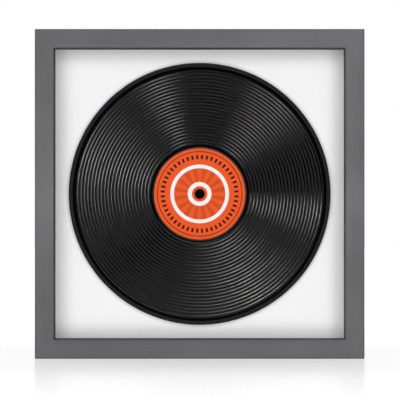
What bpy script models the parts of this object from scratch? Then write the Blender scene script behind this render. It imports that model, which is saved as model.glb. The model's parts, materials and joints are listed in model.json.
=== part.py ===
"""A square wall frame that shows one 12-inch record over a white mat.

Metres, +Z up. The front faces -Y, and the origin is under the middle of the bottom rail,
at half the frame's depth.
"""

import math

import bmesh
import bpy
from mathutils import Matrix, Vector

# Shared fits
FIT_GAP = 0.0003
CUT_OVERRUN = 0.002
WELD_DISTANCE = 0.000001
SHARP_ANGLE = 30

# Record
RECORD_DIAMETER = 0.3016
RECORD_BORE = 0.00724
RECORD_THICKNESS = 0.0020
RIM_WIDTH = 0.0043
RIM_RISE = 0.0002
RIM_ROUND = 0.0004
RUN_IN_WIDTH = 0.0040
RUN_IN_DEPTH = 0.0003
RING_PITCH = 0.00387
RING_HEIGHT = 0.00028
HUB_RING_WIDTH = 0.00425
HUB_THICKNESS = 0.0034
LABEL_SEAT_THICKNESS = 0.0018
SHOULDER_SLOPE = 0.0005
RECORD_SEGMENTS = 56

# Labels
LABEL_DIAMETER = 0.1056
LABEL_THICKNESS = 0.0004
LABEL_SEGMENTS = 48

# Moulding
MAT_MARGIN = 0.0149
FACE_WIDTH = 0.0236
LIP_DEPTH = 0.0065
REBATE_WIDTH = 0.0060
SIGHT_BEVEL_WIDTH = 0.0021
SIGHT_BEVEL_DEPTH = 0.0035
ARRIS = 0.0006
BACK_RECESS = 0.0003

# Layers in the rebate, front to back
GLAZING_THICKNESS = 0.0020
SPACER_DEPTH = 0.0105
SPACER_SETBACK = 0.0005
MAT_THICKNESS = 0.0015
FOAM_THICKNESS = 0.0050
BACKING_THICKNESS = 0.0030

# Centre peg and its nut
PEG_HEAD_DIAMETER = 0.0116
PEG_HEAD_HEIGHT = 0.0026
PEG_HEAD_SIDE_SHARE = 0.45
PEG_DOME_STEPS = 5
PEG_SHANK_DIAMETER = 0.0066
PEG_TIP_CHAMFER = 0.0005
PEG_SEGMENTS = 24
NUT_DIAMETER = 0.0180
NUT_THICKNESS = 0.0030
NUT_CLEARANCE = 0.0020

# Corner nails
NAIL_LEG = 0.0050
NAIL_GAUGE = 0.0008
NAIL_DEPTH = 0.0100
NAIL_PLACE_SHARES = (0.20, 0.58)

# Screws, shared by the turn buttons and the hangers
SCREW_HEAD_DIAMETER = 0.0066
SCREW_HEAD_HEIGHT = 0.0022
SCREW_HEAD_SHARES = ((0.62, 1.0), (0.9, 0.72), (1.0, 0.3))
SCREW_SHANK_DIAMETER = 0.0030
SCREW_LENGTH = 0.0120
SCREW_POINT = 0.0030
SCREW_TIP_CLEARANCE = 0.0010
SCREW_SEGMENTS = 16
DRIVE_LENGTH = 0.0036
DRIVE_WIDTH = 0.0009
DRIVE_DEPTH = 0.0012

# Turn buttons
BUTTON_THICKNESS = 0.0012
BUTTON_HEAD_RADIUS = 0.0060
BUTTON_TIP_RADIUS = 0.0036
BUTTON_REACH = 0.0185
BUTTON_PLACE_SHARE = 0.30
BUTTON_ARC_STEPS = 10

# D-ring hangers
STRAP_THICKNESS = 0.0011
STRAP_WIDTH = 0.0080
STRAP_LENGTH = 0.0110
STRAP_SCREW_DROP = 0.0067
STRAP_END_ROUND_SHARE = 0.42
STRAP_END_STEPS = 4
STRAP_LOOP_STEPS = 14
RING_WIRE_DIAMETER = 0.0020
RING_INNER_WIDTH = 0.0110
RING_LEG_LENGTH = 0.0120
RING_CORNER_RADIUS = 0.0020
RING_CORNER_STEPS = 3
RING_END_STEPS = 10
HANGER_HEIGHT_SHARE = 0.667

# Wall bumpers
BUMPER_DIAMETER = 0.0100
BUMPER_THICKNESS = 0.0060
BUMPER_ROUND = 0.0010
BUMPER_INSET = 0.0300
BUMPER_SEGMENTS = 24

# Sizes that follow
LAYERS = (
    ("glazing", GLAZING_THICKNESS),
    ("spacer", SPACER_DEPTH),
    ("mat", MAT_THICKNESS),
    ("foam", FOAM_THICKNESS),
    ("backing", BACKING_THICKNESS),
)
SIGHT_SIZE = RECORD_DIAMETER + 2 * MAT_MARGIN
OUTER_SIZE = SIGHT_SIZE + 2 * FACE_WIDTH
REBATE_SIZE = SIGHT_SIZE + 2 * REBATE_WIDTH
SHEET_SIZE = REBATE_SIZE - 2 * FIT_GAP
LAYER_DEPTH = sum(thickness + FIT_GAP for _, thickness in LAYERS)
FRAME_DEPTH = LIP_DEPTH + LAYER_DEPTH + BACK_RECESS
FRONT_Y = -FRAME_DEPTH / 2
BACK_Y = FRAME_DEPTH / 2
WALL_MIDDLE = (REBATE_SIZE + OUTER_SIZE) / 4
SPACER_THICKNESS = REBATE_WIDTH - FIT_GAP - SPACER_SETBACK

LABEL_SEAT_RADIUS = LABEL_DIAMETER / 2 + FIT_GAP
HUB_RADIUS = LABEL_SEAT_RADIUS + HUB_RING_WIDTH
LABEL_BACK_HEIGHT = LABEL_SEAT_THICKNESS / 2 + FIT_GAP
LABEL_FRONT_HEIGHT = LABEL_BACK_HEIGHT + LABEL_THICKNESS
STRAP_LOOP_INNER = RING_WIRE_DIAMETER / 2 + FIT_GAP
STRAP_LOOP_OUTER = STRAP_LOOP_INNER + STRAP_THICKNESS

QUARTER = math.pi / 2
FACING_FRONT = (QUARTER, 0.0, 0.0)

# Each side's name and the names of its two ends, a quarter turn apart, from the bottom round by the left
SIDES = (
    ("bottom", ("left", "right")),
    ("left", ("upper", "lower")),
    ("top", ("right", "left")),
    ("right", ("lower", "upper")),
)
CORNERS = ("bottom_right", "bottom_left", "top_left", "top_right")

for old in list(bpy.data.objects):
    bpy.data.objects.remove(old, do_unlink=True)
PARTS = bpy.data.collections.new("vinyl_record_frame")
CUTTERS = bpy.data.collections.new("cutters")
bpy.context.scene.collection.children.link(PARTS)
bpy.context.scene.collection.children.link(CUTTERS)
CENTRE = bpy.data.objects.new("frame_centre", None)
CENTRE.location = (0.0, 0.0, OUTER_SIZE / 2)
PARTS.objects.link(CENTRE)


def facing_back(quarter_turns=0):
    """A rotation that points local Z out of the back, on the side that many quarter turns from the bottom."""
    return (-QUARTER, quarter_turns * QUARTER, 0.0)


def paint(red, green, blue, alpha=1.0):
    """A linear colour from 0 to 255 screen values."""
    screen = [value / 255 for value in (red, green, blue)]
    linear = [value / 12.92 if value <= 0.04045 else ((value + 0.055) / 1.055) ** 2.4 for value in screen]
    return (*linear, alpha)


FINISHES = {
    "frame_paint": (paint(110, 109, 112), 0.62, 0.0),
    "clear_acrylic": (paint(245, 248, 248, 0.08), 0.05, 0.0),
    "black_spacer": (paint(24, 24, 25), 0.80, 0.0),
    "white_mat": (paint(244, 244, 244), 0.85, 0.0),
    "white_foam": (paint(238, 238, 236), 0.85, 0.0),
    "brown_hardboard": (paint(122, 86, 56), 0.75, 0.0),
    "record_vinyl": (paint(26, 26, 27), 0.28, 0.0),
    "label_paper": (paint(232, 88, 38), 0.60, 0.0),
    "black_plastic": (paint(12, 12, 13), 0.40, 0.0),
    "nail_steel": (paint(150, 152, 155), 0.45, 1.0),
    "zinc_plate": (paint(186, 189, 192), 0.32, 1.0),
    "screw_steel": (paint(172, 174, 178), 0.28, 1.0),
    "grey_felt": (paint(70, 70, 72), 0.95, 0.0),
}


def make_material(name):
    """One finish as a Principled material."""
    colour, roughness, metallic = FINISHES[name]
    material = bpy.data.materials.new(name)
    material.use_nodes = True
    shader = material.node_tree.nodes["Principled BSDF"]
    shader.inputs["Base Color"].default_value = (*colour[:3], 1.0)
    shader.inputs["Alpha"].default_value = colour[3]
    shader.inputs["Roughness"].default_value = roughness
    shader.inputs["Metallic"].default_value = metallic
    material.diffuse_color = colour
    return material


MATERIALS = {name: make_material(name) for name in FINISHES}


def finished(shape, name):
    """A mesh from a bmesh, with its faces pointing out."""
    bmesh.ops.recalc_face_normals(shape, faces=shape.faces)
    mesh = bpy.data.meshes.new(name)
    shape.to_mesh(mesh)
    shape.free()
    return mesh


def outward(mesh):
    """The same mesh, welded and with its faces pointing out."""
    shape = bmesh.new()
    shape.from_mesh(mesh)
    bmesh.ops.remove_doubles(shape, verts=shape.verts, dist=WELD_DISTANCE)
    name = mesh.name
    bpy.data.meshes.remove(mesh)
    return finished(shape, name)


def slab(name, width, depth, height):
    """A box centred on its origin."""
    shape = bmesh.new()
    bmesh.ops.create_cube(shape, size=1.0, matrix=Matrix.Diagonal((width, depth, height, 1.0)))
    return finished(shape, name)


def rod(name, diameter, length, segments):
    """A cylinder along Z, centred on its origin."""
    shape = bmesh.new()
    radius = diameter / 2
    bmesh.ops.create_cone(
        shape, cap_ends=True, segments=segments, radius1=radius, radius2=radius, depth=length
    )
    return finished(shape, name)


def applied(obj):
    """The object's mesh as its modifiers leave it. The object is removed."""
    depsgraph = bpy.context.evaluated_depsgraph_get()
    depsgraph.update()
    mesh = bpy.data.meshes.new_from_object(obj.evaluated_get(depsgraph))
    mesh.name = obj.name
    bpy.data.objects.remove(obj, do_unlink=True)
    return mesh


def turned(name, profile, segments):
    """A mesh turned about Z from (radius, height) points that run down its outer side.

    A profile that starts and ends on the axis makes a solid, and any other is closed on itself.
    """
    on_axis = profile[0][0] == 0.0
    mesh = bpy.data.meshes.new(name)
    points = [(radius, 0.0, height) for radius, height in profile]
    edges = [(index, index + 1) for index in range(len(points) - 1)]
    if not on_axis:
        edges.append((len(points) - 1, 0))
    mesh.from_pydata(points, edges, [])
    blank = bpy.data.objects.new(name, mesh)
    PARTS.objects.link(blank)
    screw = blank.modifiers.new("turn", "SCREW")
    screw.axis = "Z"
    screw.steps = segments
    screw.render_steps = segments
    screw.use_merge_vertices = True
    screw.merge_threshold = WELD_DISTANCE
    solid = outward(applied(blank))
    solid.shade_smooth()
    solid.set_sharp_from_angle(angle=math.radians(SHARP_ANGLE))
    return solid


def outline_curve(name, loops, thickness):
    """A flat plate from closed outlines, the first one outside and the others holes, centred on Z."""
    curve = bpy.data.curves.new(name, "CURVE")
    curve.dimensions = "2D"
    curve.fill_mode = "BOTH"
    curve.extrude = thickness / 2
    for points in loops:
        spline = curve.splines.new("POLY")
        spline.points.add(len(points) - 1)
        for point, (across, along) in zip(spline.points, points):
            point.co = (across, along, 0.0, 1.0)
        spline.use_cyclic_u = True
    return curve


def plate(name, loops, thickness):
    """An outline's plate as a welded mesh."""
    blank = bpy.data.objects.new(name, outline_curve(name, loops, thickness))
    PARTS.objects.link(blank)
    return outward(applied(blank))


def arc(centre, radius, start, end, steps):
    """Points round an arc from start to end degrees, both ends included."""
    points = []
    for step in range(steps + 1):
        angle = math.radians(start + (end - start) * step / steps)
        points.append((centre[0] + radius * math.cos(angle), centre[1] + radius * math.sin(angle)))
    return points


def circle(radius, steps, centre=(0.0, 0.0)):
    return arc(centre, radius, 0.0, 360.0, steps)[:-1]


def add(name, data, finish, location, rotation=(0.0, 0.0, 0.0)):
    """A named piece, placed from the frame's centre."""
    piece = bpy.data.objects.new(name, data)
    PARTS.objects.link(piece)
    piece.parent = CENTRE
    piece.location = location
    piece.rotation_euler = rotation
    if not data.materials:
        data.materials.append(MATERIALS[finish])
    return piece


def cut(piece, mesh, location, rotation=(0.0, 0.0, 0.0)):
    """Takes a mesh's shape out of a piece. The cutter rides on the piece, in its own axes."""
    cutter = bpy.data.objects.new(f"{piece.name}_{mesh.name}", mesh)
    CUTTERS.objects.link(cutter)
    cutter.parent = piece
    cutter.location = location
    cutter.rotation_euler = rotation
    cutter.hide_render = True
    cutter.display_type = "WIRE"
    boolean = piece.modifiers.new(mesh.name, "BOOLEAN")
    boolean.operation = "DIFFERENCE"
    boolean.object = cutter


def round_the_frame(across, depth, out, quarter_turns):
    """A place on one side: across it, at a depth, and out from the frame's centre. Side 0 is the bottom."""
    return Matrix.Rotation(quarter_turns * QUARTER, 3, "Y") @ Vector((across, depth, -out))


def moulding_section():
    """Corners of the moulding's section, as (distance out from the sight edge, y)."""
    lip_back = FRONT_Y + LIP_DEPTH
    return [
        (0.0, FRONT_Y + SIGHT_BEVEL_DEPTH),
        (SIGHT_BEVEL_WIDTH, FRONT_Y),
        (FACE_WIDTH - ARRIS, FRONT_Y),
        (FACE_WIDTH, FRONT_Y + ARRIS),
        (FACE_WIDTH, BACK_Y - ARRIS),
        (FACE_WIDTH - ARRIS, BACK_Y),
        (REBATE_WIDTH, BACK_Y),
        (REBATE_WIDTH, lip_back),
        (0.0, lip_back),
    ]


def moulding_mesh():
    """One mitred length of moulding, as the bottom rail lies below the frame's centre."""
    shape = bmesh.new()
    corners = [shape.verts.new((0.0, y, -(SIGHT_SIZE / 2 + out))) for out, y in moulding_section()]
    section = shape.faces.new(corners)
    drawn = bmesh.ops.extrude_face_region(shape, geom=[section])
    far_end = {item for item in drawn["geom"] if isinstance(item, bmesh.types.BMVert)}
    mitre_inset = FIT_GAP / math.sqrt(2)
    for vert in shape.verts:
        half_length = -vert.co.z - mitre_inset
        vert.co.x = half_length if vert in far_end else -half_length
    return finished(shape, "moulding")


def nail_outline(leg, half_gauge):
    """An L with its corner on the mitre and a leg in each of the two mouldings."""
    return [
        (-half_gauge, -half_gauge),
        (leg, -half_gauge),
        (leg, half_gauge),
        (half_gauge, half_gauge),
        (half_gauge, leg),
        (-half_gauge, leg),
    ]


def nail_places():
    """How far out from the frame's centre each nail's corner lies, along both sides."""
    wall = (OUTER_SIZE - REBATE_SIZE) / 2
    return [REBATE_SIZE / 2 + wall * share for share in NAIL_PLACE_SHARES]


def make_mouldings():
    """Four mitred mouldings with slots for the corner nails and pilot holes for the turn buttons' screws."""
    slot = plate("nail_slot", [nail_outline(NAIL_LEG + FIT_GAP, NAIL_GAUGE / 2 + FIT_GAP)], slot_depth())
    slot_y = BACK_Y + CUT_OVERRUN - slot_depth() / 2
    pilot, pilot_y = pilot_hole(BUTTON_THICKNESS)
    pieces = []
    for turns, name in enumerate(("bottom_rail", "left_stile", "top_rail", "right_stile")):
        piece = add(name, moulding_mesh(), "frame_paint", (0.0, 0.0, 0.0), (0.0, turns * QUARTER, 0.0))
        for place in nail_places():
            cut(piece, slot, (place, slot_y, -place), facing_back())
            cut(piece, slot, (-place, slot_y, -place), facing_back(1))
        for across in button_places():
            cut(piece, pilot, (across, pilot_y, -WALL_MIDDLE), facing_back())
        pieces.append(piece)
    return pieces


def slot_depth():
    return NAIL_DEPTH + 2 * FIT_GAP + CUT_OVERRUN


def pilot_hole(seat_thickness):
    """The cutter for a screw that holds a plate of that thickness, and the y of its middle."""
    reach = SCREW_LENGTH - seat_thickness - 2 * FIT_GAP + SCREW_TIP_CLEARANCE
    depth = reach + CUT_OVERRUN
    hole = rod("pilot_hole", SCREW_SHANK_DIAMETER + 2 * FIT_GAP, depth, SCREW_SEGMENTS)
    return hole, BACK_Y + CUT_OVERRUN - depth / 2


def make_corner_nails():
    nail = plate("corner_nail", [nail_outline(NAIL_LEG, NAIL_GAUGE / 2)], NAIL_DEPTH)
    nail_y = BACK_Y - FIT_GAP - NAIL_DEPTH / 2
    for turns, corner in enumerate(CORNERS):
        for end, place in zip(("inner", "outer"), nail_places()):
            location = round_the_frame(place, nail_y, place, turns)
            add(f"corner_nail_{corner}_{end}", nail, "nail_steel", location, facing_back(turns))


def layer_middles():
    """The y of each layer's middle."""
    middles = {}
    front = FRONT_Y + LIP_DEPTH + FIT_GAP
    for layer, thickness in LAYERS:
        middles[layer] = front + thickness / 2
        front += thickness + FIT_GAP
    return middles


def make_layers(middles):
    """The glazing, spacers and boards that fill the rebate."""
    glazing = slab("glazing_sheet", SHEET_SIZE, GLAZING_THICKNESS, SHEET_SIZE)
    add("glazing_sheet", glazing, "clear_acrylic", (0.0, middles["glazing"], 0.0))
    make_spacers(middles["spacer"])
    mat = slab("mat_board", SHEET_SIZE, MAT_THICKNESS, SHEET_SIZE)
    mat_board = add("mat_board", mat, "white_mat", (0.0, middles["mat"], 0.0))
    peg_bore = PEG_SHANK_DIAMETER + 2 * FIT_GAP
    peg_hole = rod("peg_hole", peg_bore, MAT_THICKNESS + 2 * CUT_OVERRUN, PEG_SEGMENTS)
    cut(mat_board, peg_hole, (0.0, 0.0, 0.0), FACING_FRONT)
    foam = slab("foam_board", SHEET_SIZE, FOAM_THICKNESS, SHEET_SIZE)
    foam_board = add("foam_board", foam, "white_foam", (0.0, middles["foam"], 0.0))
    nut_bore = NUT_DIAMETER + 2 * NUT_CLEARANCE
    nut_hole = rod("nut_hole", nut_bore, FOAM_THICKNESS + 2 * CUT_OVERRUN, PEG_SEGMENTS)
    cut(foam_board, nut_hole, (0.0, 0.0, 0.0), FACING_FRONT)
    backing = slab("backing_board", SHEET_SIZE, BACKING_THICKNESS, SHEET_SIZE)
    add("backing_board", backing, "brown_hardboard", (0.0, middles["backing"], 0.0))


def make_spacers(middle):
    """Two full-length strips above and below, and two between them."""
    out = SHEET_SIZE / 2 - SPACER_THICKNESS / 2
    between = SHEET_SIZE - 2 * SPACER_THICKNESS - 2 * FIT_GAP
    long_strip = slab("spacer_long", SHEET_SIZE, SPACER_DEPTH, SPACER_THICKNESS)
    short_strip = slab("spacer_short", SPACER_THICKNESS, SPACER_DEPTH, between)
    add("spacer_bottom", long_strip, "black_spacer", (0.0, middle, -out))
    add("spacer_top", long_strip, "black_spacer", (0.0, middle, out))
    add("spacer_left", short_strip, "black_spacer", (-out, middle, 0.0))
    add("spacer_right", short_strip, "black_spacer", (out, middle, 0.0))


def ring_points(start, end, land):
    """Valleys and peaks of the raised rings between two radii."""
    count = max(1, round((end - start) / RING_PITCH))
    pitch = (end - start) / count
    points = []
    for ring in range(count):
        points.append((start + ring * pitch, land))
        points.append((start + (ring + 0.5) * pitch, land + RING_HEIGHT))
    return points


def record_profile():
    """Half the record's section as (radius, height from its middle): front, rim, then the plainer back."""
    bore = RECORD_BORE / 2
    outer = RECORD_DIAMETER / 2
    rim_inner = outer - RIM_WIDTH
    run_in_inner = rim_inner - RUN_IN_WIDTH
    land = RECORD_THICKNESS / 2
    rim = land + RIM_RISE
    hub = HUB_THICKNESS / 2
    seat = LABEL_SEAT_THICKNESS / 2
    front = [
        (bore, seat),
        (LABEL_SEAT_RADIUS, seat),
        (LABEL_SEAT_RADIUS, hub),
        (HUB_RADIUS - SHOULDER_SLOPE, hub),
    ]
    front += ring_points(HUB_RADIUS, run_in_inner, land)
    front += [
        (run_in_inner, land),
        (run_in_inner + SHOULDER_SLOPE, land - RUN_IN_DEPTH),
        (rim_inner - SHOULDER_SLOPE, land - RUN_IN_DEPTH),
        (rim_inner, rim),
        (outer - RIM_ROUND, rim),
        (outer, rim - RIM_ROUND),
    ]
    back = [
        (outer, RIM_ROUND - rim),
        (outer - RIM_ROUND, -rim),
        (rim_inner, -rim),
        (rim_inner - SHOULDER_SLOPE, -land),
        (HUB_RADIUS, -land),
        (HUB_RADIUS - SHOULDER_SLOPE, -hub),
        (LABEL_SEAT_RADIUS, -hub),
        (LABEL_SEAT_RADIUS, -seat),
        (bore, -seat),
    ]
    return front + back


def make_record(middle):
    """The record and its two labels, all turned on the record's axis."""
    disc = turned("record_disc", record_profile(), RECORD_SEGMENTS)
    add("record_disc", disc, "record_vinyl", (0.0, middle, 0.0), FACING_FRONT)
    bore = RECORD_BORE / 2
    edge = LABEL_DIAMETER / 2
    front = LABEL_FRONT_HEIGHT
    back = LABEL_BACK_HEIGHT
    label = turned("label", [(bore, front), (edge, front), (edge, back), (bore, back)], LABEL_SEGMENTS)
    add("front_label", label, "label_paper", (0.0, middle, 0.0), FACING_FRONT)
    add("back_label", label, "label_paper", (0.0, middle, 0.0), facing_back())


def peg_profile(shank_length):
    """A domed head over a plain shank, from the top down. Height 0 is under the head."""
    radius = PEG_HEAD_DIAMETER / 2
    side = PEG_HEAD_HEIGHT * PEG_HEAD_SIDE_SHARE
    shank = PEG_SHANK_DIAMETER / 2
    dome = []
    for step in range(PEG_DOME_STEPS + 1):
        angle = QUARTER * step / PEG_DOME_STEPS
        dome.append((radius * math.sin(angle), side + (PEG_HEAD_HEIGHT - side) * math.cos(angle)))
    return dome + [
        (radius, 0.0),
        (shank, 0.0),
        (shank, PEG_TIP_CHAMFER - shank_length),
        (shank - PEG_TIP_CHAMFER, -shank_length),
        (0.0, -shank_length),
    ]


def make_peg(record_middle, mat_back):
    """The peg through the record and the mat, and the nut that holds it from behind."""
    under_head = record_middle - LABEL_FRONT_HEIGHT - FIT_GAP
    nut_front = mat_back + FIT_GAP
    shank_length = nut_front + NUT_THICKNESS - under_head
    peg = turned("centre_peg", peg_profile(shank_length), PEG_SEGMENTS)
    add("centre_peg", peg, "black_plastic", (0.0, under_head, 0.0), FACING_FRONT)
    bore = PEG_SHANK_DIAMETER / 2 + FIT_GAP
    edge = NUT_DIAMETER / 2
    half = NUT_THICKNESS / 2
    nut = turned("peg_nut", [(bore, half), (edge, half), (edge, -half), (bore, -half)], PEG_SEGMENTS)
    add("peg_nut", nut, "black_plastic", (0.0, nut_front + half, 0.0), FACING_FRONT)


def screw_mesh():
    """A pan-head wood screw with a cross recess. Height 0 is under its head."""
    radius = SCREW_HEAD_DIAMETER / 2
    shank = SCREW_SHANK_DIAMETER / 2
    profile = [(0.0, SCREW_HEAD_HEIGHT)]
    profile += [(radius * across, SCREW_HEAD_HEIGHT * up) for across, up in SCREW_HEAD_SHARES]
    profile += [
        (radius, 0.0),
        (shank, 0.0),
        (shank, SCREW_POINT - SCREW_LENGTH),
        (0.0, -SCREW_LENGTH),
    ]
    blank = bpy.data.objects.new("screw", turned("screw", profile, SCREW_SEGMENTS))
    PARTS.objects.link(blank)
    height = DRIVE_DEPTH + CUT_OVERRUN
    middle = SCREW_HEAD_HEIGHT + CUT_OVERRUN - height / 2
    drive = slab("drive_slot", DRIVE_LENGTH, DRIVE_WIDTH, height)
    cut(blank, drive, (0.0, 0.0, middle))
    cut(blank, drive, (0.0, 0.0, middle), (0.0, 0.0, QUARTER))
    drive_cutters = list(blank.children)
    mesh = applied(blank)
    for cutter in drive_cutters:
        bpy.data.objects.remove(cutter, do_unlink=True)
    return mesh


def button_places():
    """Where the two turn buttons stand along each side, from its middle."""
    place = OUTER_SIZE * BUTTON_PLACE_SHARE
    return (-place, place)


def button_outline():
    """A pear: a round head at the pivot and a smaller round tip, joined by their tangents."""
    tip_drop = BUTTON_REACH - BUTTON_TIP_RADIUS
    spread = math.degrees(math.acos((BUTTON_HEAD_RADIUS - BUTTON_TIP_RADIUS) / tip_drop))
    head = arc((0.0, 0.0), BUTTON_HEAD_RADIUS, spread - 90, 270 - spread, BUTTON_ARC_STEPS)
    tip = arc((0.0, -tip_drop), BUTTON_TIP_RADIUS, -90 - spread, spread - 90, BUTTON_ARC_STEPS)
    return head + tip


def make_turn_buttons(screw):
    """Two turn buttons on each side, pointing in over the back, each under its own screw."""
    hole = circle(SCREW_SHANK_DIAMETER / 2 + FIT_GAP, SCREW_SEGMENTS)
    button = plate("turn_button", [button_outline(), hole], BUTTON_THICKNESS)
    button_y = BACK_Y + FIT_GAP + BUTTON_THICKNESS / 2
    under_head = BACK_Y + 2 * FIT_GAP + BUTTON_THICKNESS
    for turns, (side, ends) in enumerate(SIDES):
        for end, across in zip(ends, button_places()):
            pivot = round_the_frame(across, button_y, WALL_MIDDLE, turns)
            seat = round_the_frame(across, under_head, WALL_MIDDLE, turns)
            add(f"turn_button_{side}_{end}", button, "zinc_plate", pivot, facing_back(turns))
            add(f"turn_screw_{side}_{end}", screw, "screw_steel", seat, facing_back(turns))


def strap_mesh():
    """The hanger's strap: a flat tail and a loop round the ring's bar, which lies on the origin."""
    tail_face = STRAP_THICKNESS - STRAP_LOOP_OUTER
    meets = math.degrees(math.acos(tail_face / STRAP_LOOP_OUTER))
    outline = arc((0.0, 0.0), STRAP_LOOP_OUTER, 180, -meets, STRAP_LOOP_STEPS)
    outline += [(tail_face, -STRAP_LENGTH), (-STRAP_LOOP_OUTER, -STRAP_LENGTH)]
    mesh = plate("hanger_strap", [outline, circle(STRAP_LOOP_INNER, STRAP_LOOP_STEPS)], STRAP_WIDTH)
    shape = bmesh.new()
    shape.from_mesh(mesh)
    tail_end = [
        edge
        for edge in shape.edges
        if all(math.isclose(vert.co.y, -STRAP_LENGTH, abs_tol=WELD_DISTANCE) for vert in edge.verts)
        and math.isclose(edge.verts[0].co.z, edge.verts[1].co.z, abs_tol=WELD_DISTANCE)
    ]
    bmesh.ops.bevel(
        shape,
        geom=tail_end,
        offset=STRAP_WIDTH * STRAP_END_ROUND_SHARE,
        segments=STRAP_END_STEPS,
        profile=0.5,
        affect="EDGES",
    )
    bpy.data.meshes.remove(mesh)
    return finished(shape, "hanger_strap")


def ring_curve():
    """A D-shaped wire ring that hangs from its straight bar, which lies on the origin."""
    half = (RING_INNER_WIDTH + RING_WIRE_DIAMETER) / 2
    corner = RING_CORNER_RADIUS
    points = arc((half - corner, -corner), corner, 90, 0, RING_CORNER_STEPS)
    points += arc((0.0, -RING_LEG_LENGTH), half, 0, -180, RING_END_STEPS)
    points += arc((corner - half, -corner), corner, 180, 90, RING_CORNER_STEPS)
    curve = bpy.data.curves.new("hanger_ring", "CURVE")
    curve.dimensions = "3D"
    curve.bevel_depth = RING_WIRE_DIAMETER / 2
    curve.bevel_resolution = 2
    curve.use_fill_caps = True
    spline = curve.splines.new("POLY")
    spline.points.add(len(points) - 1)
    for point, (across, along) in zip(spline.points, points):
        point.co = (across, along, 0.0, 1.0)
    spline.use_cyclic_u = True
    return curve


def make_hangers(stiles, screw):
    """A D-ring hanger on the back of each stile, screwed on with the ring hanging down."""
    height = OUTER_SIZE * HANGER_HEIGHT_SHARE - OUTER_SIZE / 2
    pivot_y = BACK_Y + FIT_GAP + STRAP_LOOP_OUTER
    under_head = BACK_Y + 2 * FIT_GAP + STRAP_THICKNESS
    screw_height = height - STRAP_SCREW_DROP
    strap = strap_mesh()
    ring = ring_curve()
    pilot, pilot_y = pilot_hole(STRAP_THICKNESS)
    strap_bore = SCREW_SHANK_DIAMETER + 2 * FIT_GAP
    strap_hole = rod("strap_hole", strap_bore, STRAP_THICKNESS + 2 * CUT_OVERRUN, SCREW_SEGMENTS)
    hole_depth = STRAP_THICKNESS / 2 - STRAP_LOOP_OUTER
    for side, sign in (("left", -1), ("right", 1)):
        x = sign * WALL_MIDDLE
        loop = add(
            f"hanger_strap_{side}", strap, "zinc_plate", (x, pivot_y, height), (QUARTER, 0.0, QUARTER)
        )
        cut(loop, strap_hole, (hole_depth, -STRAP_SCREW_DROP, 0.0), (0.0, QUARTER, 0.0))
        add(f"hanger_ring_{side}", ring, "zinc_plate", (x, pivot_y, height), FACING_FRONT)
        add(f"hanger_screw_{side}", screw, "screw_steel", (x, under_head, screw_height), facing_back())
        cut(stiles[side], pilot, (sign * screw_height, pilot_y, -WALL_MIDDLE), facing_back())


def make_bumpers():
    """A soft pad near each end of the bottom rail, thicker than the hangers."""
    radius = BUMPER_DIAMETER / 2
    profile = [
        (0.0, BUMPER_THICKNESS),
        (radius - BUMPER_ROUND, BUMPER_THICKNESS),
        (radius, BUMPER_THICKNESS - BUMPER_ROUND),
        (radius, 0.0),
        (0.0, 0.0),
    ]
    bumper = turned("wall_bumper", profile, BUMPER_SEGMENTS)
    for side, sign in (("left", -1), ("right", 1)):
        x = sign * (OUTER_SIZE / 2 - BUMPER_INSET)
        add(f"wall_bumper_{side}", bumper, "grey_felt", (x, BACK_Y + FIT_GAP, -WALL_MIDDLE), facing_back())


def make_frame():
    middles = layer_middles()
    mat_front = middles["mat"] - MAT_THICKNESS / 2
    mat_back = middles["mat"] + MAT_THICKNESS / 2
    record_middle = mat_front - FIT_GAP - HUB_THICKNESS / 2
    _, left_stile, _, right_stile = make_mouldings()
    make_corner_nails()
    make_layers(middles)
    make_record(record_middle)
    make_peg(record_middle, mat_back)
    screw = screw_mesh()
    make_turn_buttons(screw)
    make_hangers({"left": left_stile, "right": right_stile}, screw)
    make_bumpers()


make_frame()
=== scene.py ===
"""Dresses a wall frame that shows one 12-inch record over a white mat.

Everything is in metres, in the frame's own axes: +Z is up and the front faces -Y.
"""

import json
import math

import bmesh
import bpy
from bpy.props import FloatProperty, FloatVectorProperty, IntProperty, PointerProperty
from mathutils import Matrix, Vector


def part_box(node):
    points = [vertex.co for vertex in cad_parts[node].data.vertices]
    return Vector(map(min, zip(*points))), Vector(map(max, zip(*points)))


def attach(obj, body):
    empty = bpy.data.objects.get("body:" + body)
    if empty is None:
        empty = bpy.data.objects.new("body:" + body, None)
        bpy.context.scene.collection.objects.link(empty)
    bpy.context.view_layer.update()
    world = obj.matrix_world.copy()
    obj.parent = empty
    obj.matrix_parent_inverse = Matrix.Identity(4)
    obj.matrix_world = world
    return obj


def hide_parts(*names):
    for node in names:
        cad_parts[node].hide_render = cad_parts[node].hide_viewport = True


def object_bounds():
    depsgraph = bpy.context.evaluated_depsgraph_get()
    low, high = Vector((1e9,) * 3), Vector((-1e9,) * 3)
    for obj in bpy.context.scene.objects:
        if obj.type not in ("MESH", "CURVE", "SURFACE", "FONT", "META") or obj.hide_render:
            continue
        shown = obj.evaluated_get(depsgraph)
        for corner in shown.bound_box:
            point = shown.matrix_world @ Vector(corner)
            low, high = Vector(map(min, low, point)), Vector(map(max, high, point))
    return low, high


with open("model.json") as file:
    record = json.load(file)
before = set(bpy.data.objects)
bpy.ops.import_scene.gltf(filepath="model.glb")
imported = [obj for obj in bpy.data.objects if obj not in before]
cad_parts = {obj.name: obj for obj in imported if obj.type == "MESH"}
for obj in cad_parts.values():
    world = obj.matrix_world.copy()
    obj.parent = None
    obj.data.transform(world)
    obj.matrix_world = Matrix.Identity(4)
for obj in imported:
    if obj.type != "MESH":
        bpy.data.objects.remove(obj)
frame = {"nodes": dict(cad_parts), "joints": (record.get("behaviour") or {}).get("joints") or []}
CAD_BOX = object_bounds()

bl_info = {
    "name": "Record Frame Looks",
    "version": (1, 0, 0),
    "blender": (4, 5, 0),
    "location": "View3D > Sidebar > Record Frame",
    "description": "Builds the finished surfaces of a wall frame that shows a 12-inch record",
    "category": "Object",
}

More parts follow.
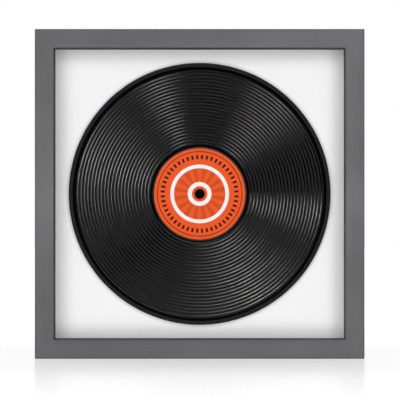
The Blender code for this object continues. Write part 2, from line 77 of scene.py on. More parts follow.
# Fits and cuts that the pieces share
FIT_GAP = 0.0003
CUT_OVERRUN = 0.001
WELD_DISTANCE = 0.000001
QUARTER = math.pi / 2
SHARP_ANGLE = math.radians(30)
RING_SHARP_ANGLE = math.radians(5)

# Places that the frame gives
CENTRE = Vector((0.0, 0.0, (CAD_BOX[0].z + CAD_BOX[1].z) / 2))
OUTER_SIZE = CAD_BOX[1].z - CAD_BOX[0].z
FACE_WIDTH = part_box("bottom_rail")[1].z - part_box("bottom_rail")[0].z
SIGHT_SIZE = OUTER_SIZE - 2 * FACE_WIDTH
SHEET_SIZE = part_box("glazing_sheet")[1].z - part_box("glazing_sheet")[0].z
REBATE_SIZE = SHEET_SIZE + 2 * FIT_GAP
FRONT_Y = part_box("bottom_rail")[0].y
BACK_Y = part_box("bottom_rail")[1].y
LIP_BACK_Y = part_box("glazing_sheet")[0].y - FIT_GAP
SIDES = (
    ("bottom", ("left", "right")),
    ("left", ("upper", "lower")),
    ("top", ("right", "left")),
    ("right", ("lower", "upper")),
)
RAILS = ("bottom_rail", "left_stile", "top_rail", "right_stile")
CORNERS = ("bottom_right", "bottom_left", "top_left", "top_right")

# Mouldings
BEVEL_WIDTH = 0.0021
BEVEL_DEPTH = 0.0035
MITRE_BLEND = 0.0002
CORNER_ROUND = 0.0010
OUTER_LINE_ENDS = (0.0024, 0.0010)
SIGHT_LINE_SOFTNESS = (0.0002, 0.0003)
NAIL_LEG = 0.0050
NAIL_GAUGE = 0.0008
NAIL_SLOT_DEPTH = 0.0012
NAIL_SLOT_GAP = 0.00008

# Record
RECORD_BORE = 0.00724
RIM_WIDTH = 0.0043
RIM_RISE = 0.0002
RIM_ROUND = 0.0004
RUN_IN_WIDTH = 0.0040
RUN_IN_DEPTH = 0.0003
LAND_HEIGHT = 0.0010
LABEL_SEAT_HEIGHT = 0.0009
HUB_HEIGHT = 0.0017
HUB_RING_WIDTH = 0.00425
SHOULDER_TILT = math.radians(27)
LABEL_RADIUS = 0.0528
LABEL_THICKNESS = 0.0004
LABEL_EDGE = 0.0001
VINYL_SOFTNESS = 0.0002

# Label print: rings as shares of its radius, and how often a ray or tick comes
INNER_WHITE = (0.17, 0.26)
SUNBURST = (0.26, 0.56)
OUTER_WHITE = (0.56, 0.64)
TICKS = (0.76, 0.85)
THIN_LINE = (0.915, 0.93)
CUT_EDGE = (0.990, 0.994)
RAY_COUNT = 16.0
TICK_COUNT = 48.0

# Peg
PEG_HEAD_HEIGHT = 0.0026
PEG_SHANK_DIAMETER = 0.0066
PEG_LIP = 0.0005
PEG_DOME_START = 0.0012

# Screws and plates behind
SCREW_SHANK_DIAMETER = 0.0030
SCREW_POINT = 0.0030
SCREW_HEAD_HEIGHT = 0.0022
SCREW_HEAD_RADIUS = 0.0033
SCREW_HEAD_EDGE_SHARE = 0.28
DRIVE_LENGTH = 0.0036
DRIVE_WIDTH = 0.0009
DRIVE_DEPTH = 0.0013
DRIVE_TAPER_SHARE = 0.55
BUTTON_THICKNESS = 0.0012
BUTTON_HEAD_RADIUS = 0.0060
BUTTON_TIP_RADIUS = 0.0036
BUTTON_REACH = 0.0185
STRAP_THICKNESS = 0.0011
STRAP_WIDTH = 0.0080
STRAP_LENGTH = 0.0110
STRAP_SCREW_DROP = 0.0067
STRAP_END_ROUND_SHARE = 0.42
RING_WIRE_DIAMETER = 0.0020
RING_INNER_WIDTH = 0.0110
RING_LEG_LENGTH = 0.0120
RING_CORNER_RADIUS = 0.0020
BUMPER_ROUND = 0.0014

# Boards: how far from the foam board's middle its foam gives way to paper, and the back's screen
FOAM_CORE_ENDS = (0.0021, 0.0022)
SCREEN_PITCH = 0.0014

# Floor. Gloss on the frame sees it dim in front, and pale again past these places along Y
FLOOR_REACH = 12.0
FLOOR_ROUGHNESS = 0.12
FLOOR_DIM = 0.03
FLOOR_DIM_ENDS = (-0.25, -0.05)

# Camera: its place, and the width of its picture at the frame's face
PICTURE_WIDTH = 0.4592
CAMERA_X = 0.0004
CAMERA_Z = 0.1823

# Degrees off the axis where the edges of the broad soft light, in front and behind, start and end
LIGHT_OUTER_ENDS = (46, 58)
LIGHT_INNER_ENDS = (28, 40)

# Ring lights that gloss shows in front. Each is a number of degrees off the front, and has stretches:
# degrees round from +X, and how far it is turned up there
RING_LIGHT_HALF_WIDTH = 10
RING_LIGHT_GAMMA = 1.9
OUTER_SLOPE_LIGHT = 36
OUTER_SLOPE_STRENGTH = 12.8
OUTER_SLOPE_STRETCHES = (
    (25, 0.0),
    (40, 0.60),
    (49, 0.81),
    (63, 0.49),
    (69, 0.0),
    (99, 0.0),
    (110, 1.02),
    (119, 0.48),
    (127, 0.14),
    (164, 1.10),
    (180, 0.62),
)
INNER_SLOPE_LIGHT = 72
INNER_SLOPE_STRENGTH = 30.5
INNER_SLOPE_STRETCHES = (
    (0, 0.62),
    (16, 0.35),
    (32, 0.20),
    (46, 0.0),
    (70, 0.0),
    (92, 0.39),
    (108, 0.75),
    (117, 1.06),
    (148, 0.28),
    (157, 0.33),
    (171, 1.05),
    (183, 0.0),
)


def linear(red, green, blue):
    """A linear colour from 0 to 255 screen values."""
    shares = [value / 255 for value in (red, green, blue)]
    return [share / 12.92 if share <= 0.04045 else ((share + 0.055) / 1.055) ** 2.4 for share in shares]


def colour_setting(name, description, *screen):
    return FloatVectorProperty(
        name=name,
        description=description,
        default=linear(*screen),
        subtype="COLOR",
        size=3,
        min=0.0,
        max=1.0,
    )


def length_setting(name, description, default):
    return FloatProperty(
        name=name, description=description, default=default, min=0.0, unit="LENGTH", precision=5
    )


def angle_setting(name, description, degrees):
    return FloatProperty(
        name=name,
        description=description,
        default=math.radians(degrees),
        subtype="ANGLE",
        unit="ROTATION",
    )


def share_setting(name, description, default, top=1.0):
    return FloatProperty(name=name, description=description, default=default, min=0.0, max=top)


class MouldingLooks(bpy.types.PropertyGroup):
    """The four painted mouldings."""

    paint: colour_setting("Paint", "Colour of the matt paint", 102, 101, 104)
    # The sight line's dark tone is partly the bevel's own paint and partly painted shade, the shade that
    # falls on the bevel round the opening.
    sight_line_and_shade: colour_setting("Sight line", "Colour of the narrow bevel round the opening", 62, 61, 63)
    outer_line: share_setting("Outer line", "How dark the paint is along the outer edge", 0.80)
    arris: length_setting("Arris", "Radius of the rounded front edges", 0.0010)
    back_arris: length_setting("Back arris", "Radius of the rounded back edges", 0.0006)
    mitre_gap: length_setting("Mitre gap", "Width of the gap at each mitre", 0.00002)
    # Painted light: the stiles are painted brighter halfway up and the rails and corners darker, as
    # light from the sides shows them. The paint is also painted darker at the foot and lighter at the
    # top, as light from above shows it.
    stile_painted_light: share_setting("Stile tone", "Brightness of the paint halfway up the stiles", 1.20, 2.0)
    rail_painted_shade: share_setting("Rail tone", "Brightness of the paint on the rails and corners", 0.94, 2.0)
    foot_painted_shade: share_setting("Low tone", "Brightness at the foot, with as much more at the top", 0.93)
    streaks: share_setting("Streaks", "How strong the streaks along the mouldings are", 0.05)
    clouds: share_setting("Clouds", "How strong the broad clouds in the paint are", 0.16)


class BoardLooks(bpy.types.PropertyGroup):
    """The sheets and strips that the mouldings hold."""

    mat: colour_setting("Mat", "Colour of the mat board", 249, 249, 249)
    spacer: colour_setting("Spacers", "Colour of the spacer strips", 24, 24, 25)
    foam: colour_setting("Foam", "Colour of the foam board", 240, 240, 238)
    hardboard: colour_setting("Back", "Colour of the hardboard back", 128, 90, 58)
    hardboard_dark: colour_setting("Back fibres", "Colour of the back's darker fibres", 92, 62, 40)
    glazing_ior: share_setting("Glazing IOR", "How strongly the clear sheet mirrors", 1.3, 3.0)


class RecordLooks(bpy.types.PropertyGroup):
    """The record and its labels."""

    vinyl: colour_setting("Vinyl", "Colour of the lands and the rim", 37, 37, 38)
    # Painted shade: the ring bands are painted darker than the lands, for the shade in their fine
    # grooves.
    groove_shade: colour_setting("Grooves", "Colour of the ring bands", 5, 5, 5)
    # Painted shade: the run-in groove and the ring round the label are painted near black, where the
    # vinyl only looks dark.
    black: colour_setting("Black", "Colour of the run-in and of the ring round the label", 1, 1, 1)
    rim_grey: colour_setting("Label rim", "Colour of the narrow ring round the label", 64, 64, 65)
    label_rim: length_setting("Label rim width", "Width of the narrow ring round the label", 0.0009)
    roughness: share_setting("Roughness", "Roughness of the vinyl", 0.14)
    ring_count: IntProperty(name="Rings", description="Number of ring bands", default=22, min=1, max=40)
    band_share: share_setting("Band share", "Width of a ring band, as a share of the pitch", 0.44)
    ridge_share: share_setting("Ridge share", "Width of a band's ridges, as a share of the pitch", 0.22)
    ridge_growth: share_setting("Ridge growth", "How much wider the outermost ridges are", 0.15)
    ridges: IntProperty(name="Ridges", description="Ridges in each ring band", default=2, min=1, max=6)
    outer_tilt: angle_setting("Outer slope", "Tilt of the ridges' outer slopes", 18)
    inner_tilt: angle_setting("Inner slope", "Tilt of the ridges' inner slopes", 36)
    steps: IntProperty(name="Steps", description="Steps round the record", default=240, min=48, max=720)
    paper: colour_setting("Label", "Colour of the label's paper", 240, 90, 35)
    shade: colour_setting("Label shade", "Colour of the label's darker rays", 212, 82, 31)
    ink: colour_setting("Label ink", "Colour of the label's ticks and line", 14, 12, 12)
    white: colour_setting("Label white", "Colour of the label's rings", 246, 245, 242)


class HardwareLooks(bpy.types.PropertyGroup):
    """The metal and plastic pieces."""

    zinc: colour_setting("Zinc", "Colour of the zinc plating", 186, 190, 195)
    steel: colour_setting("Steel", "Colour of the screws and nails", 170, 173, 178)
    plastic: colour_setting("Plastic", "Colour of the peg and its nut", 4, 4, 4)
    felt: colour_setting("Felt", "Colour of the wall bumpers", 72, 72, 75)
    ease: length_setting("Ease", "Radius of the stamped plates' edges", 0.00022)


class StageLooks(bpy.types.PropertyGroup):
    """The floor, the light and the camera."""

    ambient: share_setting("Ambient", "Strength of the light from all round", 0.18, 4.0)
    frontal: share_setting("Frontal", "Added strength of the soft light in front and behind", 2.54, 4.0)
    core: share_setting("Core", "Share of the soft light's strength in its middle", 0.05)
    room: share_setting("Room", "How bright the room behind the camera looks in gloss", 0.012)
    ring_lights: share_setting("Ring lights", "Brightness of the two lights that gloss shows", 1.0, 10.0)
    floor_tone: share_setting("Floor tone", "Brightness of the floor's own colour", 0.50)
    floor_glow: share_setting("Floor glow", "Light that the floor adds for the camera and gloss", 0.76)
    shine: share_setting("Floor shine", "Share of the floor's mirror at the frame's foot", 0.45)
    shine_reach: length_setting("Shine reach", "How far from the frame the floor's shine ends", 1.4)
    lens: FloatProperty(name="Lens", description="Focal length in millimetres", default=400.0, min=10.0)


class RecordFrameLooks(bpy.types.PropertyGroup):
    """All the settings."""

    moulding: PointerProperty(type=MouldingLooks)
    board: PointerProperty(type=BoardLooks)
    record: PointerProperty(type=RecordLooks)
    hardware: PointerProperty(type=HardwareLooks)
    stage: PointerProperty(type=StageLooks)


class Recipe:
    """The nodes of one material or world, added a step at a time."""

    def __init__(self, owner):
        owner.use_nodes = True
        self.owner = owner
        self.tree = owner.node_tree
        self.shader = self.tree.nodes.get("Principled BSDF")
        self.place = self.node("ShaderNodeTexCoord").outputs["Object"]

    @classmethod
    def material(cls, name):
        return cls(bpy.data.materials.new(name))

    def node(self, kind, values=(), **settings):
        """A node with its settings, and its inputs set or linked by name or number."""
        node = self.tree.nodes.new(kind)
        for setting, value in settings.items():
            setattr(node, setting, value)
        for socket, value in dict(values).items():
            self.feed(node.inputs[socket], value)
        return node

    def feed(self, socket, value):
        if isinstance(value, bpy.types.NodeSocket):
            self.tree.links.new(value, socket)
        else:
            socket.default_value = value

    def set(self, **values):
        """Sets or links the main shader's inputs. An underscore in a name is a space."""
        for name, value in values.items():
            self.feed(self.shader.inputs[name.replace("_", " ")], value)

    def maths(self, operation, *values):
        return self.node("ShaderNodeMath", enumerate(values), operation=operation).outputs[0]

    def range(self, value, from_low, from_high, to_low=0.0, to_high=1.0, smooth=False):
        """A value moved from one range to another and held inside it."""
        step = self.node("ShaderNodeMapRange")
        step.interpolation_type = "SMOOTHSTEP" if smooth else "LINEAR"
        for socket, number in enumerate((value, from_low, from_high, to_low, to_high)):
            self.feed(step.inputs[socket], number)
        return step.outputs[0]

    def noise(self, scale, detail=3.0, roughness=0.55, stretch=(1.0, 1.0, 1.0)):
        """A value from 0 to 1 that varies over the piece. A low stretch draws it out that way."""
        moved = self.node("ShaderNodeMapping", {"Vector": self.place, "Scale": stretch})
        values = {"Vector": moved.outputs[0], "Scale": scale, "Detail": detail, "Roughness": roughness}
        return self.node("ShaderNodeTexNoise", values).outputs["Fac"]

    def blend(self, factor, first, second):
        """A value between two, by a factor."""
        return self.node("ShaderNodeMix", {0: factor, 2: first, 3: second}, data_type="FLOAT").outputs[0]

    def mix(self, factor, first, second):
        """A colour between two, by a factor."""
        return self.node("ShaderNodeMix", {0: factor, 6: first, 7: second}, data_type="RGBA").outputs[2]

    def scaled(self, colour, low, high, factor):
        """A colour times a brightness between two shares."""
        return self.mix(factor, tint(colour, low), tint(colour, high))

    def bump(self, height, distance, strength=1.0):
        values = {"Height": height, "Distance": distance, "Strength": strength}
        normal = self.node("ShaderNodeBump", values).outputs[0]
        self.set(Normal=normal)

    def distance(self, first, second):
        """How far a place is from the origin, from two of its coordinates."""
        squares = [self.maths("MULTIPLY", value, value) for value in (first, second)]
        return self.maths("SQRT", self.maths("ADD", *squares))

    def diffuse(self, level):
        """A matt grey shader."""
        return self.node("ShaderNodeBsdfDiffuse", {"Color": (level, level, level, 1.0)}).outputs[0]

    def either(self, factor, first, second):
        """A shader between two, by a factor."""
        return self.node("ShaderNodeMixShader", {0: factor, 1: first, 2: second}).outputs[0]

    def surface(self, shader):
        """Takes another shader in place of the main one."""
        self.tree.nodes.remove(self.shader)
        self.feed(self.tree.nodes["Material Output"].inputs["Surface"], shader)

    def parts(self):
        """The X, Y and Z of the place on the piece."""
        return self.node("ShaderNodeSeparateXYZ", {0: self.place}).outputs


def tint(colour, share=1.0):
    return (*[channel * share for channel in colour], 1.0)


def box_middle(node):
    low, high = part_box(node)
    return (low + high) / 2


def finished(shape, name):
    """A mesh from a bmesh, with its faces pointing out."""
    bmesh.ops.remove_doubles(shape, verts=shape.verts, dist=WELD_DISTANCE)
    bmesh.ops.recalc_face_normals(shape, faces=shape.faces)
    mesh = bpy.data.meshes.new(name)
    shape.to_mesh(mesh)
    shape.free()
    return mesh


def applied(blank):
    """A blank object's mesh as its modifiers leave it. The blank is removed."""
    depsgraph = bpy.context.evaluated_depsgraph_get()
    depsgraph.update()
    mesh = bpy.data.meshes.new_from_object(blank.evaluated_get(depsgraph))
    bpy.data.objects.remove(blank, do_unlink=True)
    return mesh


def blank_object(name, data):
    blank = bpy.data.objects.new(name, data)
    bpy.context.scene.collection.objects.link(blank)
    return blank


def rounded_off(mesh, sharp_angle=SHARP_ANGLE):
    """The same mesh welded, pointing out and smooth between its sharp edges."""
    shape = bmesh.new()
    shape.from_mesh(mesh)
    smooth = finished(shape, mesh.name)
    bpy.data.meshes.remove(mesh)
    smooth.shade_smooth()
    smooth.set_sharp_from_angle(angle=sharp_angle)
    return smooth


def turned(name, profile, segments, sharp_angle=SHARP_ANGLE):
    """A mesh turned about Z from (radius, height) points. Off the axis it is closed on itself."""
    mesh = bpy.data.meshes.new(name)
    edges = [(index, index + 1) for index in range(len(profile) - 1)]
    if profile[0][0] > 0.0:
        edges.append((len(profile) - 1, 0))
    mesh.from_pydata([(radius, 0.0, height) for radius, height in profile], edges, [])
    blank = blank_object(name, mesh)
    screw = blank.modifiers.new("turn", "SCREW")
    screw.steps = segments
    screw.render_steps = segments
    screw.use_merge_vertices = True
    screw.merge_threshold = WELD_DISTANCE
    return rounded_off(applied(blank), sharp_angle)


def plate(name, loops, thickness, ease=0.0):
    """A flat plate centred on Z, from an outer outline and its holes, with eased edges."""
    curve = bpy.data.curves.new(name, "CURVE")
    curve.dimensions = "2D"
    curve.fill_mode = "BOTH"
    curve.extrude = thickness / 2 - ease
    curve.bevel_depth = ease
    curve.bevel_resolution = 2
    curve.offset = -ease
    for points in loops:
        spline = curve.splines.new("POLY")
        spline.points.add(len(points) - 1)
        for point, (across, along) in zip(spline.points, points):
            point.co = (across, along, 0.0, 1.0)
        spline.use_cyclic_u = True
    return rounded_off(applied(blank_object(name, curve)))


def arc(centre, radius, start, end, steps):
    """Points round an arc from start to end degrees, both ends included."""
    across, along = centre
    angles = [math.radians(start + (end - start) * step / steps) for step in range(steps + 1)]
    return [(across + radius * math.cos(turn), along + radius * math.sin(turn)) for turn in angles]


def circle(radius, steps, centre=(0.0, 0.0)):
    return arc(centre, radius, 0.0, 360.0, steps)[:-1]


def facing_front():
    """Turns local Z to point out of the front."""
    return Matrix.Rotation(QUARTER, 4, "X")


def facing_back(quarter_turns=0):
    """Turns local Z to point out of the back, on the side that many quarter turns from the bottom."""
    return Matrix.Rotation(quarter_turns * QUARTER, 4, "Y") @ Matrix.Rotation(-QUARTER, 4, "X")


def put(name, mesh, finish, body, place, turn=None):
    """A finished piece that stands for the node of its name and rides on a body."""
    if turn is not None:
        mesh = mesh.copy()
        mesh.transform(turn)
    node = name.removesuffix("_finished")
    mesh.materials.clear()
    mesh.materials.append(finish)
    piece = blank_object(name, mesh)
    piece.location = place
    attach(piece, body)
    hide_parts(node)
    return piece


def dress(nodes, finish):
    """Gives carried-over nodes a finish."""
    for node in nodes:
        materials = frame["nodes"][node].data.materials
        materials.clear()
        materials.append(finish)


def cut_out(mesh, cutters):
    """A mesh less the shapes of the cutters."""
    blank = blank_object(mesh.name, mesh)
    tools = [blank_object("cutter", cutter) for cutter in cutters]
    for tool in tools:
        boolean = blank.modifiers.new("cut", "BOOLEAN")
        boolean.operation = "DIFFERENCE"
        boolean.object = tool
    result = applied(blank)
    for tool in tools:
        bpy.data.objects.remove(tool, do_unlink=True)
    return result


def make_paint(looks):
    """Matt paint with streaks along each moulding, broad clouds, light and shade painted by height, and
    a dark line at the sight edge that is partly painted shade.
    """
    recipe = Recipe.material("moulding_paint")
    x, _, z = recipe.parts()
    across = recipe.maths("ABSOLUTE", x)
    up = recipe.maths("ABSOLUTE", recipe.maths("SUBTRACT", z, CENTRE.z))
    out = recipe.maths("MAXIMUM", across, up)
    upright = recipe.range(recipe.maths("SUBTRACT", across, up), -MITRE_BLEND, MITRE_BLEND)
    grain = recipe.noise(1500.0, detail=4.0, roughness=0.7)
    level_streaks = recipe.noise(420.0, detail=2.0, stretch=(0.02, 1.0, 1.0))
    upright_streaks = recipe.noise(420.0, detail=2.0, stretch=(1.0, 1.0, 0.02))
    streaks = recipe.blend(upright, level_streaks, upright_streaks)
    face = recipe.scaled(looks.paint, 0.88, 1.12, grain)
    line_start, line_end = [OUTER_SIZE / 2 - inset for inset in OUTER_LINE_ENDS]
    tones = (
        recipe.range(out, line_start, line_end, 1.0, looks.outer_line, smooth=True),
        # Painted light: brighter halfway up the stiles, darker on the rails and corners.
        recipe.range(up, 0.0, SIGHT_SIZE / 2, looks.stile_painted_light, looks.rail_painted_shade),
        # Painted light: darker towards the foot and lighter towards the top.
        recipe.range(z, 0.0, OUTER_SIZE, looks.foot_painted_shade, 2 - looks.foot_painted_shade),
        recipe.range(streaks, 0.3, 0.7, 1 - looks.streaks, 1 + looks.streaks),
        recipe.range(recipe.noise(7.0, detail=2.0), 0.3, 0.7, 1 - looks.clouds, 1 + looks.clouds),
    )
    for tone in tones:
        face = recipe.node("ShaderNodeVectorMath", {0: face, 1: tone}, operation="MULTIPLY").outputs[0]
    bevel_edge = SIGHT_SIZE / 2 + BEVEL_WIDTH
    inward, outward = SIGHT_LINE_SOFTNESS
    # Painted shade: the bevel round the opening is painted dark, partly its own paint and partly the
    # shade that falls on it.
    opening = recipe.range(out, bevel_edge - inward, bevel_edge + outward, 1.0, 0.0, smooth=True)
    recipe.set(
        Base_Color=recipe.mix(opening, face, tint(looks.sight_line_and_shade)),
        Roughness=recipe.range(grain, 0.3, 0.7, 0.56, 0.72),
        Specular_IOR_Level=0.3,
    )
    recipe.bump(recipe.noise(2600.0, detail=2.0), 0.00002, 0.6)
    return recipe.owner


def make_mat_paper(looks):
    """White board with a fine paper grain."""
    recipe = Recipe.material("mat_paper")
    fibre = recipe.noise(700.0, detail=4.0, roughness=0.65)
    recipe.set(
        Base_Color=recipe.scaled(looks.mat, 0.985, 1.0, fibre),
        Roughness=recipe.range(fibre, 0.3, 0.7, 0.82, 0.92),
        Specular_IOR_Level=0.2,
    )
    recipe.bump(recipe.noise(1600.0, detail=3.0), 0.00003, 0.5)
    return recipe.owner


def make_strip_plastic(looks):
    """Matt black strip with faint draw lines."""
    recipe = Recipe.material("spacer_plastic")
    lines = recipe.noise(900.0, stretch=(1.0, 4.0, 1.0))
    recipe.set(
        Base_Color=recipe.scaled(looks.spacer, 0.97, 1.0, lines),
        Roughness=recipe.range(lines, 0.3, 0.7, 0.6, 0.75),
    )
    recipe.bump(lines, 0.00002, 0.5)
    return recipe.owner


def make_foam_paper(looks):
    """Foam board: smooth paper faces and an open foam edge."""
    recipe = Recipe.material("foam_paper")
    _, y, _ = recipe.parts()
    depth = recipe.maths("ABSOLUTE", recipe.maths("SUBTRACT", y, box_middle("foam_board").y))
    cells = recipe.noise(2200.0, detail=1.0)
    core = recipe.range(depth, *FOAM_CORE_ENDS, 1.0, 0.0)
    shade = recipe.maths("MULTIPLY", core, cells)
    recipe.set(Base_Color=recipe.scaled(looks.foam, 1.0, 0.86, shade), Roughness=0.85)
    recipe.bump(shade, 0.0001, 0.8)
    return recipe.owner


def make_hardboard(looks):
    """Brown hardboard: pressed fibres with a faint screen pattern."""
    recipe = Recipe.material("hardboard")
    x, _, z = recipe.parts()
    fibres = recipe.noise(420.0, detail=6.0, roughness=0.72)
    clouds = recipe.noise(22.0, detail=3.0)
    mottle = recipe.blend(0.25, fibres, clouds)
    blend = recipe.range(mottle, 0.36, 0.66, smooth=True)
    turns = [recipe.maths("MULTIPLY", axis, 2 * math.pi / SCREEN_PITCH) for axis in (x, z)]
    screen = recipe.maths("MULTIPLY", *[recipe.maths("SINE", turn) for turn in turns])
    recipe.set(
        Base_Color=recipe.mix(blend, tint(looks.hardboard_dark), tint(looks.hardboard)),
        Roughness=recipe.range(fibres, 0.3, 0.7, 0.66, 0.84),
    )
    recipe.bump(recipe.maths("ADD", recipe.maths("MULTIPLY", screen, 0.35), fibres), 0.00008, 0.7)
    return recipe.owner


def make_acrylic(looks):
    """A thin clear sheet: see-through, with its mirror on the side that faces the light."""
    recipe = Recipe.material("clear_acrylic")
    smears = recipe.noise(60.0, detail=2.0)
    mirror = recipe.node("ShaderNodeFresnel", {"IOR": looks.glazing_ior}).outputs[0]
    inside = recipe.node("ShaderNodeNewGeometry").outputs["Backfacing"]
    facing = recipe.maths("SUBTRACT", 1.0, inside)
    factor = recipe.maths("MULTIPLY", mirror, facing)
    clear = recipe.node("ShaderNodeBsdfTransparent").outputs[0]
    roughness = recipe.range(smears, 0.0, 1.0, 0.01, 0.05)
    sheen = {"Color": tint((0.9, 0.95, 0.95)), "Roughness": roughness}
    gloss = recipe.node("ShaderNodeBsdfGlossy", sheen).outputs[0]
    recipe.surface(recipe.either(factor, clear, gloss))
    return recipe.owner


def record_radii():
    """The radii where the record's surface changes, from the middle out."""
    low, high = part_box("record_disc")
    outer = (high.z - low.z) / 2
    rim_inner = outer - RIM_WIDTH
    seat = LABEL_RADIUS + FIT_GAP
    hub = seat + HUB_RING_WIDTH
    return seat, hub, rim_inner - RUN_IN_WIDTH, rim_inner, outer


def make_vinyl(looks):
    """Glossy black vinyl: lands, ring bands painted darker as painted shade, and painted shade in black
    at the run-in and round the label.
    """
    recipe = Recipe.material("record_vinyl")
    seat, hub, run_in, rim_inner, _ = record_radii()
    x, _, z = recipe.parts()
    radius = recipe.distance(x, z)
    pitch = (run_in - hub) / looks.ring_count
    phase = recipe.maths("FRACT", recipe.maths("DIVIDE", recipe.maths("SUBTRACT", radius, hub), pitch))
    away = recipe.maths("ABSOLUTE", recipe.maths("SUBTRACT", phase, 0.5))
    half = looks.band_share / 2
    band = recipe.range(away, half - 0.02, half + 0.02, 1.0, 0.0)
    inside = recipe.range(radius, hub, hub + WELD_DISTANCE)
    outside = recipe.range(radius, run_in - WELD_DISTANCE, run_in, 1.0, 0.0)
    rings = recipe.maths("MULTIPLY", band, recipe.maths("MULTIPLY", inside, outside))
    soft = VINYL_SOFTNESS
    rim_end = seat + looks.label_rim
    label_rim = recipe.range(radius, rim_end - soft, rim_end + soft, 1.0, 0.0)
    hub_ring = recipe.range(radius, hub - 2 * soft, hub, 1.0, 0.0)
    past_run_in = recipe.range(radius, run_in, run_in + soft)
    before_rim = recipe.range(radius, rim_inner - soft, rim_inner, 1.0, 0.0)
    # Painted shade: near black at the run-in groove and on the ring round the label.
    black = recipe.maths("MAXIMUM", hub_ring, recipe.maths("MULTIPLY", past_run_in, before_rim))
    dust = recipe.noise(2400.0, detail=2.0)
    land = recipe.scaled(looks.vinyl, 0.9, 1.1, dust)
    # Painted shade: the ring bands are darker than the lands, for the shade in their grooves.
    colour = recipe.mix(rings, land, tint(looks.groove_shade))
    colour = recipe.mix(black, colour, tint(looks.black))
    recipe.set(
        Base_Color=recipe.mix(label_rim, colour, tint(looks.rim_grey)),
        Roughness=recipe.range(dust, 0.3, 0.7, looks.roughness - 0.01, looks.roughness + 0.01),
    )
    return recipe.owner


def ring_profile(start, end, looks):
    """Points of the fine ridges in each band. Their inner slopes are steep, and they widen outward."""
    pitch = (end - start) / looks.ring_count
    outer = math.tan(looks.outer_tilt)
    inner = math.tan(looks.inner_tilt)
    points = []
    for ring in range(looks.ring_count):
        growth = 1 + looks.ridge_growth * (2 * (ring + 0.5) / looks.ring_count - 1)
        ridge = pitch * looks.ridge_share * growth / looks.ridges
        crest = ridge * outer / (outer + inner)
        first = start + (ring + 0.5) * pitch - ridge * looks.ridges / 2
        for step in range(looks.ridges):
            foot = first + step * ridge
            points += [(foot, LAND_HEIGHT), (foot + crest, LAND_HEIGHT + crest * inner)]
        points.append((first + ridge * looks.ridges, LAND_HEIGHT))
    return points


def shoulder(rise):
    """How wide a shoulder of that rise is."""
    return rise / math.tan(SHOULDER_TILT)


def record_profile(looks):
    """Half the record's section as (radius, height) points: front, rim, then the plainer back."""
    seat, hub, run_in, rim_inner, outer = record_radii()
    bore = RECORD_BORE / 2
    rim = LAND_HEIGHT + RIM_RISE
    floor = LAND_HEIGHT - RUN_IN_DEPTH
    hub_edge = hub - shoulder(HUB_HEIGHT - LAND_HEIGHT)
    front = [(bore, LABEL_SEAT_HEIGHT), (seat, LABEL_SEAT_HEIGHT)]
    front += [(seat, HUB_HEIGHT), (hub_edge, HUB_HEIGHT), (hub, LAND_HEIGHT)]
    front += ring_profile(hub, run_in, looks)
    front += [(run_in, LAND_HEIGHT), (run_in + shoulder(RUN_IN_DEPTH), floor)]
    front += [(rim_inner - shoulder(rim - floor), floor), (rim_inner, rim)]
    edge = arc((outer - RIM_ROUND, rim - RIM_ROUND), RIM_ROUND, 90, 0, 5)
    back = [(radius, -height) for radius, height in reversed(edge)]
    back += [(rim_inner, -rim), (rim_inner - shoulder(RIM_RISE), -LAND_HEIGHT), (hub, -LAND_HEIGHT)]
    back += [(hub_edge, -HUB_HEIGHT), (seat, -HUB_HEIGHT), (seat, -LABEL_SEAT_HEIGHT)]
    back.append((bore, -LABEL_SEAT_HEIGHT))
    return front + edge + back


def make_label_print(looks):
    """Printed paper: a sunburst with two white rings, a ring of ticks and a thin line near the edge."""
    recipe = Recipe.material("label_print")
    x, _, z = recipe.parts()
    out = recipe.maths("DIVIDE", recipe.distance(x, z), LABEL_RADIUS)
    turn = recipe.maths("DIVIDE", recipe.maths("ARCTAN2", z, x), 2 * math.pi)

    def ring(low, high, soft=0.004):
        rise = recipe.range(out, low - soft, low + soft)
        fall = recipe.range(out, high - soft, high + soft, 1.0, 0.0)
        return recipe.maths("MULTIPLY", rise, fall)

    def rays(count, share, soft):
        phase = recipe.maths("FRACT", recipe.maths("MULTIPLY", recipe.maths("ADD", turn, 1.0), count))
        away = recipe.maths("ABSOLUTE", recipe.maths("SUBTRACT", phase, 0.5))
        return recipe.range(away, share / 2 - soft, share / 2 + soft, 1.0, 0.0)

    sunburst = recipe.maths("MULTIPLY", rays(RAY_COUNT, share=0.5, soft=0.01), ring(*SUNBURST))
    whites = recipe.maths("MAXIMUM", ring(*INNER_WHITE), ring(*OUTER_WHITE))
    ticks = recipe.maths("MULTIPLY", rays(TICK_COUNT, share=0.42, soft=0.06), ring(*TICKS))
    inks = recipe.maths("MAXIMUM", ticks, ring(*THIN_LINE))
    fibre = recipe.noise(1400.0, detail=4.0, roughness=0.65)
    colour = recipe.scaled(looks.paper, 0.94, 1.06, fibre)
    colour = recipe.mix(sunburst, colour, tint(looks.shade))
    colour = recipe.mix(whites, colour, tint(looks.white))
    colour = recipe.mix(inks, colour, tint(looks.ink))
    colour = recipe.mix(recipe.range(out, *CUT_EDGE), colour, tint(looks.rim_grey))
    recipe.set(
        Base_Color=colour,
        Roughness=recipe.range(fibre, 0.3, 0.7, 0.48, 0.62),
        Specular_IOR_Level=0.15,
    )
    recipe.bump(fibre, 0.00002, 0.4)
    return recipe.owner


def make_metal(name, colour, roughness, grain):
    """Plated metal with a faint spangle."""
    recipe = Recipe.material(name)
    spangle = recipe.noise(grain, detail=4.0, roughness=0.6)
    recipe.set(
        Base_Color=recipe.scaled(colour, 0.66, 1.26, spangle),
        Roughness=recipe.range(spangle, 0.3, 0.7, roughness - 0.06, roughness + 0.08),
        Metallic=1.0,
    )
    recipe.bump(recipe.noise(grain * 2.5, detail=2.0), 0.00001, 0.5)
    return recipe.owner


